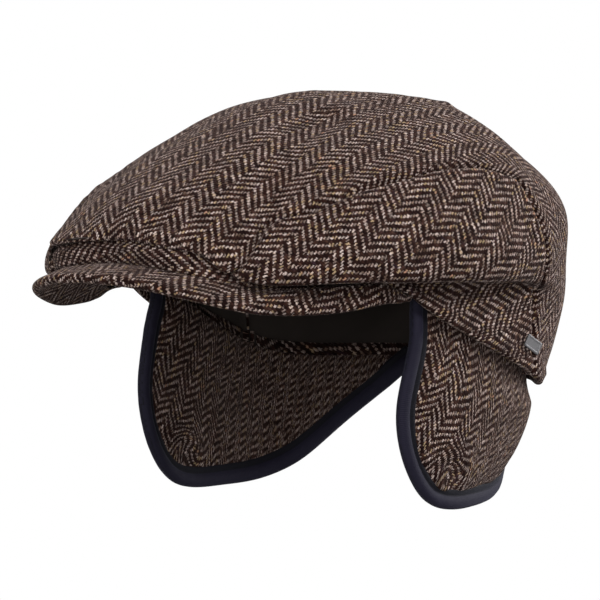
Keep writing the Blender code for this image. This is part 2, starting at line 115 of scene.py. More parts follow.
DENTS = (
    # from angle, from radius, to angle, to radius, width, depth
    (41, 0.30, 27, 0.78, 0.10, 0.0035),
    (-20, 0.42, -32, 0.74, 0.10, 0.0025),
    (78, 0.66, 100, 0.70, 0.07, 0.0015),
    (150, 0.42, 168, 0.66, 0.12, 0.0018),
    (20, 0.02, 30, 0.10, 0.09, -0.0014),
    (122, 0.15, 145, 0.245, 0.06, 0.0013),
    (-56, 0.54, -39, 0.43, 0.14, 0.0009),
    (134, 0.315, 150, 0.33, 0.035, -0.0011),
)
DENT_FALL = 2.5  # how steeply a dent's sides fall
SIDE_SEAM = (
    # angle, map radius
    (24, 0.862), (27, 0.800), (29, 0.731), (31.5, 0.668), (37, 0.645),
    (47.6, 0.594), (64.8, 0.545), (76.2, 0.528), (90, 0.536), (103.5, 0.577),
)
REAR_SEAM = (
    (103.5, 0.577), (106.0, 0.635), (107.8, 0.72), (109.5, 0.80), (113, 0.88), (116.5, 0.95), (117, 1.0),
)
# Stitched front edge of the top panel on the left: angle and map radius
FRONT_EDGE = ((0, 0.884), (4, 0.888), (8.5, 0.902), (12, 0.912), (15.5, 0.911), (19.7, 0.890), (24, 0.862))
BAND_ANGLE = 32.0  # the band's ends lie behind the side panels
BAND_COLUMNS = 10.0  # the band's cloth is cut nearly along its columns
BAND_RISE = 0.012  # its top goes in behind the stitched edge, in map units
BAND_HEM = 0.004
BAND_SINK = 0.0002  # it lies this far below the crown's surface
BAND_TUCK = 0.0021  # and this much further where other cloth covers it:
TUCK_AT_TOP = (0.00352, 0.00132)  # distances from its top edge where that begins and is full
TUCK_AT_ENDS = (0.01056, 0.00816)
SIDE_FOOT_ANGLE = 27.5  # the side panels begin here, past the fold that hides their front edge
SEAM_LAP = 0.0008  # the sewn edges lap by this much of the map at the bottom of a seam

PEAK_THICKNESS = 0.0042
PEAK_END_THICKNESS = 0.35  # share of it that is left at the peak's ends
PEAK_END_REACH = 9.0  # degrees from an end
PEAK_HALF_ANGLE = 67.5
PEAK_EDGE = (
    # angle, distance, height
    (0.0, 0.1408, 0.0101), (8.3, 0.1394, 0.0090), (14.7, 0.1364, 0.0063), (20.6, 0.1308, 0.0027),
    (26.9, 0.1204, -0.0016), (37.3, 0.1075, -0.0042), (47.6, 0.0966, -0.0034), (60.4, 0.0888, -0.0002),
    (64.5, 0.0862, 0.0007), (67.5, 0.0846, 0.0012),
)
PEAK_RIGHT_END = 59.5  # its right end stops short and lies higher
PEAK_RIGHT_RISE = 0.0026
PEAK_RISE_ANGLES = (45, 59)  # where the rise begins and is full
PEAK_SEAT_GAP = 0.0014  # gap between the peak and the crown's foot above its middle
PEAK_GAP_ANGLES = (12, 27)  # the gap doubles between these angles
PEAK_TIGHT_ANGLES = (54, 64)  # and shrinks on the left between these
PEAK_TIGHTENING = 1.3
PEAK_LAST_SEAT = 0.72  # the crown's foot rests at most this share of the way out to the edge
PEAK_BULGE = 0.0022  # its left side stands up under the overhanging fold
PEAK_BULGE_ANGLES = (24, 38, 58, 66)  # where that begins, is full, begins to fade and ends
PEAK_STEEP_RUN = (0.34, -0.94)  # direction in which the bulge drops to the edge, outward and up
PEAK_LOWEST_ARCH = -0.0004
PEAK_TURN = 20.0  # its cloth is turned this far from the peak's middle line
PEAK_UNDERSIDE = 0.003  # way round the edge from the upper cloth to the lower
PEAK_ROOT = (
    # the same columns where the peak begins, inside the crown
    (0.0, 0.1010, 0.0180), (17.0, 0.0990, 0.0165), (27.0, 0.0945, 0.0132), (38.0, 0.0920, 0.0066),
    (52.0, 0.0862, 0.0018), (64.5, 0.0825, -0.0002), (67.5, 0.0815, 0.0006),
)

FLAP_THICKNESS = 0.0042
FLAP_INSET = 0.0044  # it hangs this far inside the crown's foot
FLAP_TUCK = 0.0070  # and begins this far above it
FLAP_LEAN = 0.0050  # it leans in by this much at the foot
FLAP_LEAN_HEIGHTS = (-0.035, -0.087)  # where the lean begins and is full
REAR_LEAN = 0.38  # the rear leans in by this share of its way below a height
REAR_LEAN_HEIGHT = -0.046
REAR_LEAN_ANGLES = (86, 128)  # where the rear begins and is full
FLAP_RADIUS = 0.085  # mean radius that turns the flap's angles into lengths
FLAP_SCALE = np.array((radians(1) * FLAP_RADIUS, 1.0))
FLAP_EDGE = (
    # angle and height, from the rim down the front, along the foot and up at the rear
    (70.7, 0.0), (69.4, -0.0165), (66.5, -0.0320), (65.0, -0.0436), (66.1, -0.0580), (70.1, -0.0710),
    (77.7, -0.0822), (89.2, -0.0867), (102.0, -0.0866), (116.0, -0.0850), (132.0, -0.0770),
    (144.0, -0.0640), (155.0, -0.0500), (166.0, -0.0350),
)
FLAP_OUTLINE_POINTS = 241
FLAP_OUTLINE_STEP = 8  # the tweed's outline goes through every eighth of them
TUCK_SPARE = 0.0025  # the tweed's outline ends this far below the flap's hidden top
PAD_STEEPNESS = 6.0  # the padding is full a sixth of the flap's width from its edges
PAD_EDGE_SHARE = 0.35  # and this share of its thickness is left there
FLAP_PUFF = 0.0013  # the padding stands out this far in the middle
PUFF_STARTS = (2.5, 4.0)  # how steeply it begins at the top and at the foot
PUCKER_REACH = 0.7  # the puckers fade by this share of the way to the full padding
FLAP_COLUMNS = 55.0  # the flap's columns rise this steeply towards the back
SWIRL_PLACE = np.array((radians(88.5) * FLAP_RADIUS, -0.0722))
RIM_INSET = (0.0022, 0.0, 0.010)  # a ridge: the flap lies this much deeper under the rim
GATHER_ANGLE = 88.0  # behind this angle the tweed is gathered more and more
GATHER = 26.0  # this times the square of the way behind it, in metres
TAPE_PROFILE = (
    # millimetres from the folded edge, half thickness: a soft roll, a stitched groove and a flat lip
    (0.0, 0.0), (0.25, 1.25), (0.9, 2.05), (2.0, 2.5), (3.4, 2.5), (4.6, 2.15), (5.4, 1.55), (5.9, 1.20),
    (6.4, 1.30), (7.0, 1.45), (8.0, 1.40), (8.6, 1.15), (8.85, 0.7), (8.9, 0.0),
)
TAPE_TURN = 0.01176  # way round the tape from its folded edge to the end of its lip
TAPE_LIP = 0.0046
TWEED_INSET = 0.0076  # the tweed begins under the tape's lip, this far from the edge
TAPE_STATIONS = 300
TAPE_RIPPLE = 0.04  # share by which its thickness wavers
TAPE_RIPPLE_LENGTH = 1 / 260
WELD = 1e-7  # points of its seam that are closer than this are joined
INNER_SHIFT = 0.01  # the flap's inner cloth shows another place of the weave

PLATE_LENGTH = 0.0086
PLATE_WIDTH = 0.0052
PLATE_THICKNESS = 0.0009
PLATE_FACING = 83.0  # the angle that the plate faces
PLATE_TILT = 31.0
PLATE_SHIFT = (0.0006, 0.0, -0.0003)  # from the solid's middle
PLATE_RINGS = (
    # inset, and depth in plate thicknesses, from the back over a rounded border to the face
    (0.0, -0.5), (0.0, 0.4), (0.0002, 0.5), (0.0007, 0.5), (0.0009, 0.38),
)

# Cloth
WALL = 0.0014  # thickness of the dressed wall
FOLD_START = (25.5, 0.875)  # where the side folds begin: angle and map radius
FOLD_REACH = 0.015
FOLD_WALL = 0.1  # share of the wall's thickness that is left there
COARSE_GRID = 34  # points each way at which a surface is laid out flat
FOOT_LEVEL = 0.9950  # the cloth turns in here, so that its roll ends at the foot
HEM_RADIUS = 0.0018
HEM_HEIGHT = 0.0100
HEM_TURN_ROWS = 9
HEM_RISE_ROWS = 5
YARN = 0.00100  # distance between two yarns
COLUMN_YARNS = 8  # yarns across one column of the herringbone
TOP_TURN = -4.0  # the panels' columns are turned this far from their middle lines
SIDE_TURN = 39.0
WALL_TURN = 14.0  # the cloth below the crease lies turned against the fold above it
WALL_LEVELS = (0.855, 0.895)  # map radii between which it turns, inside the crease
WALL_PIVOT = 104.0  # it is in line with the fold at this angle
BACK_TURN = 32.0  # the cloth turns round the back of the head
BACK_LEVELS = (0.42, 0.80)
BACK_ANGLES = (78.0, 112.0)
BACK_PIVOT = (116.0, 0.75)  # angle and map radius
BACK_FADE = (0.0, 60.0)  # degrees from the middle of the back in which the turn fades
FINE_STEPS = 400  # steps in which a smooth line is measured

# Lines of points on the panels: rough length of the line, and step between its points
SEAM_GRID = (0.185, 0.0019)
REAR_GRID = (0.085, 0.0019)
TOP_GRID = (0.190, 0.0021)
SIDE_GRID = (0.165, 0.0019)
SIDE_RISE_GRID = (0.085, 0.0014)
BAND_GRID = (0.120, 0.0016)
BAND_ROWS = 20
END_STEPS = (0.0, 0.4, 0.8, 1.2, 1.7, 2.3, 3.1, 4.1, 5.3)  # millimetres from an end of the line

# Ridges and dips: height, distance from the edge or seam, and width
SEAM_DIP = (-0.0022, 0.0, 0.0013)
SEAM_PUFF = (0.0004, 0.0045, 0.003)
SEAM_GATHER = (1.0, 0.004, 0.0055)
RIM_ROLL = (0.0013, 0.0024, 0.0026)
RIM_GATHER = (1.0, 0.004, 0.005)
EDGE_TURN = (-0.0013, 0.0, 0.0011)
EDGE_STITCH = (-0.0006, 0.0030, 0.0010)
SWIRL_DENT = (-0.0013, 0.0, 0.0050)
SWIRL_RING = (0.0007, 0.0095, 0.0035)
SWIRL_TWIST = (85.0, 0.0, 0.0095)  # its height is a turn in degrees

# Uneven cloth: height and wavelength
CLOTH_WAVES = (0.0009, 0.040)
CLOTH_RIPPLES = (0.00032, 0.014)
SEAM_PUCKERS = (0.00055, 0.0065)
RIM_PUCKERS = (0.00022, 0.009)
PEAK_WAVES = (0.00025, 0.020)
FLAP_WAVES = (0.0011, 0.026)
FLAP_PUCKERS = (0.0010, 0.010)
SWIRL_PULL = (0.0022, 0.018)


def spline_weights(knots):
    """Matrix that turns a natural cubic spline's values into its second derivatives."""
    count = len(knots)
    step = np.diff(knots)
    left = np.eye(count)
    right = np.zeros((count, count))
    for i in range(1, count - 1):
        left[i, i - 1:i + 2] = step[i - 1], 2 * (step[i - 1] + step[i]), step[i]
        right[i, i - 1:i + 2] = 6 / step[i - 1], -6 / step[i - 1] - 6 / step[i], 6 / step[i]
    return np.linalg.solve(left, right)


def spline_terms(knots, where):
    """The stretch that each place lies in, and the shares of its two ends' values and bends."""
    i = np.clip(np.searchsorted(knots, where) - 1, 0, len(knots) - 2)
    step = knots[i + 1] - knots[i]
    a = (knots[i + 1] - where) / step
    b = 1 - a
    return i, a, b, (a ** 3 - a) * step ** 2 / 6, (b ** 3 - b) * step ** 2 / 6


def spline(knots, values, where):
    """Natural cubic spline through values at knots, read at each place in where."""
    knots = np.asarray(knots, float)
    values = np.asarray(values, float).reshape(len(knots), -1)
    bend = spline_weights(knots) @ values
    i, *shares = spline_terms(knots, np.asarray(where, float))
    a, b, bend_a, bend_b = (share[:, None] for share in shares)
    return a * values[i] + b * values[i + 1] + bend_a * bend[i] + bend_b * bend[i + 1]


def section_values(angles):
    """The section table, mirrored round the crown, read at any angles in degrees."""
    table = np.array(SECTIONS, float)
    rows, left = table[:, 0], table[:, 1:] * MM
    right = left.copy()
    for angle, *columns in RIGHT_FRONT:
        right[rows == angle, :len(columns)] = np.array(columns) * MM
    around = np.concatenate([-rows[:0:-1], rows, 360 - rows[-2:0:-1]])
    values = np.concatenate([right[:0:-1], left, left[-2:0:-1]])
    return spline(around, values, (np.asarray(angles) + 180) % 360 - 180)


def map_point(angle, radius):
    """A place on the crown's flat map: the apex is (0, 0) and the foot of the wall is the unit circle."""
    turn = np.radians(angle)
    return np.stack([radius * np.sin(turn), -radius * np.cos(turn)], axis=-1)


def map_angle(points):
    return np.degrees(np.arctan2(points[..., 0], -points[..., 1]))


def polar(values, angles):
    """Points from distance and height columns at angles in degrees."""
    return np.column_stack([map_point(angles, values[:, 0]), values[:, 1]])


def unit(vectors):
    return vectors / np.maximum(np.linalg.norm(vectors, axis=-1, keepdims=True), SMALLEST)


def dent_depth(points):
    """How deep the crown is dented at each map point."""
    depth = np.zeros(len(points))
    for angle_a, radius_a, angle_b, radius_b, width, deepest in DENTS:
        start = map_point(angle_a, radius_a)
        run = map_point(angle_b, radius_b) - start
        along = np.clip(((points - start) @ run) / (run @ run), 0, 1)
        away = np.linalg.norm(points - start - along[:, None] * run, axis=1)
        depth += deepest * np.exp(-DENT_FALL * (away / width) ** 2)
    return depth


def crown(points):
    """Crown surface for a grid (..., 2) of map points."""
    shape = points.shape[:-1]
    points = points.reshape(-1, 2)
    radius = np.hypot(points[:, 0], points[:, 1])
    angle = map_angle(points)
    here, beyond = section_values(angle), section_values(angle + 180)
    knots = np.array((-LEVELS[-2],) + LEVELS[::-1])
    out = np.column_stack([-beyond[:, -2], np.zeros(len(points)), here[:, -2::-2]])
    up = np.column_stack([beyond[:, -1], np.full(len(points), CROWN_HEIGHT), here[:, ::-2]])
    i, a, b, bend_a, bend_b = spline_terms(knots, radius)
    row = np.arange(len(points))
    levels = []
    for value in (out, up):
        bend = value @ spline_weights(knots).T
        levels.append(a * value[row, i] + b * value[row, i + 1]
                      + bend_a * bend[row, i] + bend_b * bend[row, i + 1])
    place = polar(np.column_stack(levels), angle)
    place *= (1 - dent_depth(points) / np.linalg.norm(place, axis=1))[:, None]
    return place.reshape(shape + (3,))


def lengths(line):
    return np.concatenate([[0], np.cumsum(np.linalg.norm(np.diff(line, axis=0), axis=1))])


def run_at(rows, shares):
    """Points at the given shares of a smooth line through the rows' points."""
    rows = np.array(rows, float)
    reach = lengths(rows)
    fine = spline(reach, rows, np.linspace(0, reach[-1], FINE_STEPS))
    length = lengths(fine)
    return np.column_stack([np.interp(np.asarray(shares) * length[-1], length, column) for column in fine.T])


def shifted(line, distance):
    """A map line moved sideways by a distance, to its right as it runs."""
    run = unit(np.gradient(line, axis=0))
    return line + distance * np.column_stack([run[:, 1], -run[:, 0]])


def patch(bottom, top, start, end, across, along):
    """Coons patch between four lines, with the shares of its columns and rows."""
    s = np.asarray(across)[None, :, None]
    t = np.asarray(along)[:, None, None]
    rows = (1 - t) * bottom[None] + t * top[None]
    columns = (1 - s) * start[:, None] + s * end[:, None]
    corners = ((1 - s) * (1 - t) * bottom[0] + s * (1 - t) * bottom[-1]
               + (1 - s) * t * top[0] + s * t * top[-1])
    return rows + columns - corners


def edged_shares(length, step, low=True, high=True):
    """Shares of a line that bunch up at its ends, where the seams are."""
    fine = np.array(END_STEPS) * MM
    first = fine if low else fine[:1]
    last = length - (fine if high else fine[:1])[::-1]
    count = max(2, int(round((last[0] - first[-1]) / step)))
    inner = np.linspace(first[-1], last[0], count + 1)
    return np.concatenate([first[:-1], inner, last[1:]]) / length


def grid_normals(surface):
    """Unit normals of a grid of points (rows, columns, 3), turned away from the crown's axis."""
    normal = unit(np.cross(np.gradient(surface, axis=1), np.gradient(surface, axis=0)))
    middle = tuple(size // 2 for size in surface.shape[:2])
    if normal[middle] @ surface[middle] < 0:
        normal = -normal
    return normal


def edge_distances(surface):
    """Distance of each grid point from the first column, last column, first row and last row."""
    across = np.linalg.norm(np.diff(surface, axis=1), axis=2)
    across = np.concatenate([np.zeros((len(surface), 1)), np.cumsum(across, axis=1)], axis=1)
    along = np.linalg.norm(np.diff(surface, axis=0), axis=2)
    along = np.concatenate([np.zeros((1, surface.shape[1])), np.cumsum(along, axis=0)])
    return across, across[:, -1:] - across, along, along[-1:] - along


def ridge(distance, height, place, width):
    """Height of a soft ridge, or a dip where it is negative, that runs at a place along a distance."""
    return height * np.exp(-((distance - place) / width) ** 2)


def waves(surface, height_and_length, seed):
    """Smooth unevenness at each grid point, up to a height and with a wavelength."""
    height, length = height_and_length
    shift = Vector((seed, seed * 0.37, -seed))
    values = [noise.noise(Vector(point) + shift) for point in surface.reshape(-1, 3) / length]
    return height * np.array(values).reshape(surface.shape[:2])


def between(value, limits):
    """Share of the way from the first limit to the second."""
    return np.clip((value - limits[0]) / (limits[1] - limits[0]), 0, 1)


def smooth_step(value, limits):
    share = between(value, limits)
    return share * share * (3 - 2 * share)


def turned_by(flat, pivot, angles):
    """Flat places turned about a pivot, by one angle in degrees or by one for each grid point."""
    turn = np.radians(angles)
    reach = flat - pivot
    return pivot + np.stack([reach[..., 0] * np.cos(turn) - reach[..., 1] * np.sin(turn),
                             reach[..., 0] * np.sin(turn) + reach[..., 1] * np.cos(turn)], axis=2)


def upright(flat, direction):
    """Flat places turned so that a direction in degrees runs up the weave's columns."""
    return turned_by(flat, 0.0, 90 - direction)


def added(name, data):
    """Object of a mesh, lamp or camera, put into the scene."""
    made = bpy.data.objects.new(name, data)
    bpy.context.scene.collection.objects.link(made)
    return made


def mesh_piece(name, places, faces, materials, weave=None):
    """Piece with the given faces. One with weave coordinates is cloth, and is shaded smooth."""
    mesh = bpy.data.meshes.new(name)
    mesh.from_pydata(places, [], faces)
    for made in materials:
        mesh.materials.append(made)
    if weave is not None:
        mesh.shade_smooth()
        store = mesh.attributes.new("weave", "FLOAT_VECTOR", "POINT")
        store.data.foreach_set("vector", np.column_stack([weave, np.zeros(len(weave))]).ravel())
    return added(name, mesh)


def grid_faces(rows, columns, first=0):
    """Quads of a grid whose points are counted row by row."""
    faces = []
    for j in range(rows - 1):
        for i in range(columns - 1):
            a = first + j * columns + i
            faces.append((a, a + 1, a + columns + 1, a + columns))
    return faces


def piece_from_grid(name, surface, weave, materials, side=1):
    """Open surface of quads with its weave coordinates. side -1 mirrors it in X."""
    faces = [face[::side] for face in grid_faces(*surface.shape[:2])]
    places = surface.reshape(-1, 3) * (side, 1, 1)
    return mesh_piece(name, places.tolist(), faces, materials, weave.reshape(-1, 2))


def close(piece, weld=0.0):
    """Sews up a piece's seam, fills its open ends and turns its faces outward."""
    work = bmesh.new()
    work.from_mesh(piece.data)
    if weld:
        bmesh.ops.remove_doubles(work, verts=work.verts, dist=weld)
    open_edges = [edge for edge in work.edges if edge.is_boundary]
    if open_edges:
        bmesh.ops.holes_fill(work, edges=open_edges, sides=0)
    bmesh.ops.recalc_face_normals(work, faces=work.faces)
    work.to_mesh(piece.data)
    work.free()


def stand_for(piece, node):
    """The piece is shown in place of a node of the solids and moves with it."""
    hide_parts(node)
    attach(piece, "root")


def thicken(piece):
    """Gives a panel its wall, which is thin where the side folds begin, so that it stays inside the bend."""
    place = crown(map_point(*FOLD_START)[None])[0]
    group = piece.vertex_groups.new(name="wall")
    for vertex in piece.data.vertices:
        away = min((vertex.co - Vector(place * (side, 1, 1))).length for side in (1, -1))
        group.add([vertex.index], 1 - ridge(away, 1.0, 0.0, FOLD_REACH), "REPLACE")
    shell = piece.modifiers.new("wall", "SOLIDIFY")
    shell.thickness = WALL
    shell.offset = -1.0
    shell.use_rim = True
    shell.material_offset = 1
    shell.material_offset_rim = 0
    shell.vertex_group = "wall"
    shell.thickness_vertex_group = FOLD_WALL


def unwrapped(surface):
    """Flat places of a coarse grid surface, as Blender's own unwrapping lays it out."""
    piece = piece_from_grid("flattening", surface, np.zeros(surface.shape[:2] + (2,)), [])
    bpy.context.view_layer.objects.active = piece
    piece.select_set(True)
    bpy.ops.object.mode_set(mode="EDIT")
    bpy.ops.mesh.select_all(action="SELECT")
    bpy.ops.uv.unwrap(method="MINIMUM_STRETCH", fill_holes=False, iterations=30, margin=0.0)
    bpy.ops.object.mode_set(mode="OBJECT")
    mesh = piece.data
    uv = np.empty(len(mesh.loops) * 2)
    mesh.uv_layers.active.uv.foreach_get("vector", uv)
    vertex = np.empty(len(mesh.loops), int)
    mesh.loops.foreach_get("vertex_index", vertex)
    flat = np.empty((len(mesh.vertices), 2))
    flat[vertex] = uv.reshape(-1, 2)
    bpy.data.objects.remove(piece)
    flat = flat.reshape(surface.shape[:2] + (2,))
    true_length = np.linalg.norm(np.diff(surface, axis=1), axis=2).sum()
    return flat * true_length / np.linalg.norm(np.diff(flat, axis=1), axis=2).sum()


def flatten(surface, columns_from, columns_to, turn=0.0):
    """Lays a grid surface out flat, as the cloth was cut, and returns the flat place of each point.

    The cloth's columns run from one grid place to another (row share, column share), turned by an angle.
    """
    rows, columns = surface.shape[:2]
    row_at, column_at = (np.unique(np.linspace(0, count - 1, min(count, COARSE_GRID)).round().astype(int))
                         for count in (rows, columns))
    flat = unwrapped(surface[np.ix_(row_at, column_at)])
    coarse_columns = flat.shape[1]
    fine = spline(row_at, flat.reshape(len(row_at), -1), np.arange(rows)).reshape(rows, coarse_columns, 2)
    fine = fine.transpose(1, 0, 2).reshape(coarse_columns, -1)
    fine = spline(column_at, fine, np.arange(columns)).reshape(columns, rows, 2).transpose(1, 0, 2)

    def place(share):
        return fine[int(share[0] * (rows - 1)), int(share[1] * (columns - 1))]

    run = place(columns_to) - place(columns_from)
    return upright(fine - place(columns_from), np.degrees(np.arctan2(run[1], run[0])) + turn)


def hem(surface, weave, side_row, height=HEM_HEIGHT):
    """Extends a grid past its first or last row: the cloth turns in at the rim and goes up inside."""
    order = slice(None) if side_row == 0 else slice(None, None, -1)
    grid, flat = surface[order], weave[order]
    foot = grid[0]
    down, flat_down = unit(foot - grid[3]), unit(flat[0] - flat[3])
    normal = grid_normals(grid)[0]
    normal = unit(normal - (normal * down).sum(1)[:, None] * down)
    rows, flats = [], []
    for turn in np.linspace(0, pi, HEM_TURN_ROWS)[1:]:
        rows.append(foot + HEM_RADIUS * (sin(turn) * down + (cos(turn) - 1) * normal))
        flats.append(flat[0] + HEM_RADIUS * turn * flat_down)
    for rise in np.linspace(0, height, HEM_RISE_ROWS)[1:]:
        rows.append(foot - 2 * HEM_RADIUS * normal - rise * down)
        flats.append(flat[0] + (HEM_RADIUS * pi + rise) * flat_down)
    surface = np.concatenate([np.array(rows[::-1]), grid])[order]
    weave = np.concatenate([np.array(flats[::-1]), flat])[order]
    return surface, weave


def seam_map(rows):
    angles, levels = np.array(rows).T
    return map_point(angles, np.minimum(levels, FOOT_LEVEL))


def level_arc(from_angle, to_angle, radius, shares):
    return map_point(from_angle + (to_angle - from_angle) * shares, radius)


def front_edge(angles, rise=0.0):
    """Map points along the stitched front edge, or a little above it."""
    table = np.array(FRONT_EDGE)
    around = np.concatenate([-table[:0:-1, 0], table[:, 0]])
    inside = np.clip(angles, around[0], around[-1])
    levels = spline(around, np.concatenate([table[:0:-1, 1], table[:, 1]]), inside)[:, 0] - rise
    return map_point(angles, levels)


def shape_panel(points, seams, seed, rim=None, roll=None):
    """Cloth surface over map points: it dips into its seams and is a little uneven.

    seams names the grid sides that are sewn: start and end columns, first and last rows. rim names the
    side that is turned in at the foot, and roll is a further lift worked out from the distances to the sides.
    """
    surface = crown(points)
    normal = grid_normals(surface)
    sides = dict(zip(("start", "end", "first", "last"), edge_distances(surface)))
    lift = waves(surface, CLOTH_WAVES, seed) + waves(surface, CLOTH_RIPPLES, seed + 5)
    puckers = waves(surface, SEAM_PUCKERS, seed + 11)
    for name in seams:
        distance = sides[name]
        lift += ridge(distance, *SEAM_DIP) + ridge(distance, *SEAM_PUFF)
        lift += puckers * ridge(distance, *SEAM_GATHER)
    if rim:
        puckers = waves(surface, RIM_PUCKERS, seed + 17)
        lift += ridge(sides[rim], *RIM_ROLL) + puckers * ridge(sides[rim], *RIM_GATHER)
    if roll:
        lift += roll(sides)
    return surface + normal * lift[..., None]


def crown_top():
    """The long centre panel, from the stitched front edge over the top and down the back."""
    shares_seam = edged_shares(*SEAM_GRID, high=False)
    shares_rear = edged_shares(*REAR_GRID, low=False, high=False)
    front = shifted(run_at(seam_map(SIDE_SEAM), shares_seam), SEAM_LAP)
    rear = shifted(run_at(seam_map(REAR_SEAM), shares_rear), SEAM_LAP)
    left = np.concatenate([front[:-1], [(front[-1] + rear[0]) / 2], rear[1:]])
    right = left * (-1, 1)
    along = lengths(left)
    along /= along[-1]
    across = edged_shares(*TOP_GRID)
    front_line = front_edge(map_angle(left[0]) * (2 * across - 1))
    front_line[0], front_line[-1] = right[0], left[0]
    rear_angle = map_angle(left[-1])
    rear_arc = level_arc(360 - rear_angle, rear_angle, FOOT_LEVEL, across)
    points = patch(front_line, rear_arc, right, left, across, along)
    surface = shape_panel(points, ("start", "end"), seed=3.0, rim="last", roll=front_edge_roll)
    weave = flatten(surface, (0.02, 0.5), (0.75, 0.5), turn=TOP_TURN)
    weave = turned_at_back(points, weave)
    surface, weave = hem(surface, weave, -1)
    finish_panel("crown_top", surface, weave, "crown_top_panel")


def nearest(points, place):
    """Row and column of the grid point that is nearest to a map point."""
    away = np.linalg.norm(points - place, axis=2)
    return np.unravel_index(away.argmin(), away.shape)


def turned_at_back(points, weave):
    """The top panel's cloth is turned on both sides where it goes round the back of the head."""
    angle = map_angle(points)
    back = smooth_step(np.linalg.norm(points, axis=2), BACK_LEVELS)
    for side in (1, -1):
        pivot = weave[nearest(points, map_point(side * BACK_PIVOT[0], BACK_PIVOT[1]))]
        share = back * smooth_step(180 - angle * side, BACK_FADE) * smooth_step(angle * side, BACK_ANGLES)
        weave = turned_by(weave, pivot, side * BACK_TURN * share)
    return weave


def front_edge_roll(sides):
    """The stitched front edge: the cloth turns in at the very edge and is pressed down along the stitches."""
    return ridge(sides["first"], *EDGE_TURN) + ridge(sides["first"], *EDGE_STITCH)


def behind_edge(sides):
    """The band lies just below the crown's surface and goes in behind its front edge and the side panels."""
    ends = np.minimum(sides["start"], sides["end"])
    covered = np.maximum(smooth_step(sides["last"], TUCK_AT_TOP), smooth_step(ends, TUCK_AT_ENDS))
    return -BAND_SINK - BAND_TUCK * covered


def side_of_crown(word, side):
    """A side panel, from its curved seam over the overhanging fold and the tuck down to the rim."""
    shares_along = edged_shares(*SIDE_GRID)
    shares_up = edged_shares(*SIDE_RISE_GRID, low=False)
    top = shifted(run_at(seam_map(SIDE_SEAM), shares_along), -SEAM_LAP)
    rear = shifted(run_at(seam_map(REAR_SEAM), 1 - shares_up), SEAM_LAP)
    top[-1] = rear[-1] = (top[-1] + rear[-1]) / 2
    foot = level_arc(SIDE_FOOT_ANGLE, map_angle(rear[0]), FOOT_LEVEL, shares_along)
    front = run_at([foot[0], top[0]], shares_up)
    rear[0] = foot[-1]
    points = patch(foot, top, front, rear, shares_along, shares_up)
    surface = shape_panel(points, ("end", "last"), seed=9.0, rim="first")
    weave = flatten(surface, (0.55, 0.35), (0.55, 0.75), turn=SIDE_TURN)
    radius = np.linalg.norm(points, axis=2)
    pivot = nearest(points, map_point(WALL_PIVOT, sum(WALL_LEVELS) / 2))
    weave = turned_by(weave, weave[pivot], WALL_TURN * smooth_step(radius, WALL_LEVELS))
    surface, weave = hem(surface, weave, 0)
    finish_panel(f"side_{word}", surface, weave, f"side_panel_{word}", side)


def band():
    """The low strip between the crown's stitched front edge and the peak."""
    across = edged_shares(*BAND_GRID, low=False, high=False)
    along = np.linspace(0, 1, BAND_ROWS)
    foot = level_arc(-BAND_ANGLE, BAND_ANGLE, 1.0, across)
    top = front_edge(BAND_ANGLE * (2 * across - 1), BAND_RISE)
    start, end = (run_at([foot[k], top[k]], along) for k in (0, -1))
    points = patch(foot, top, start, end, across, along)
    surface = shape_panel(points, (), seed=15.0, roll=behind_edge)
    weave = flatten(surface, (0.5, 0.60), (0.5, 0.80), turn=BAND_COLUMNS)
    surface, weave = hem(surface, weave, 0, BAND_HEM)
    finish_panel("band", surface, weave, "front_band")


def finish_panel(name, surface, weave, node, side=1):
    piece = piece_from_grid(name, surface, weave, [tweed, inner_cloth], side)
    thicken(piece)
    stand_for(piece, node)


def half_table(rows, angles):
    table = np.array(rows)
    return spline(table[:, 0], table[:, 1:], angles)


def peak_middle(angles, thickness, rows):
    """Middle surface of the peak, from its root inside the crown to its edge, touching the foot."""
    turned = np.abs(angles)
    edge, root = half_table(PEAK_EDGE, turned), half_table(PEAK_ROOT, turned)
    rise = PEAK_RIGHT_RISE * between(-angles, PEAK_RISE_ANGLES) ** 1.5
    edge[:, 1] += rise
    root[:, 1] += rise
    start, full, fading, end = PEAK_BULGE_ANGLES
    steep = smooth_step(angles, (start, full)) * (1 - smooth_step(angles, (fading, end)))
    outward_run = (1 - steep)[:, None] * unit(edge - root) + steep[:, None] * PEAK_STEEP_RUN
    last = edge - thickness[:, None] / 2 * outward_run
    gap = 1 + between(turned, PEAK_GAP_ANGLES) - PEAK_TIGHTENING * between(angles, PEAK_TIGHT_ANGLES)
    foot = section_values(angles)[:, :2]
    seat = foot[:, 1] - PEAK_SEAT_GAP * gap - thickness / 2
    share = (foot[:, 0] - WALL / 2 - root[:, 0]) / (last[:, 0] - root[:, 0])
    share = np.clip(share, 0, PEAK_LAST_SEAT)
    arch = (seat - root[:, 1] - share * (last[:, 1] - root[:, 1])) / (4 * share * (1 - share))
    arch = np.where(angles > 0, np.maximum(arch, PEAK_LOWEST_ARCH), arch)
    middle = []
    for b in np.linspace(0, 1, rows):
        line = root + b * (last - root)
        outside = np.clip((b - share) / (1 - share), 0, 1)
        line[:, 1] += 4 * b * (1 - b) * arch + PEAK_BULGE * steep * np.sin(pi * outside) ** 1.5
        middle.append(polar(line, angles))
    return np.array(middle)


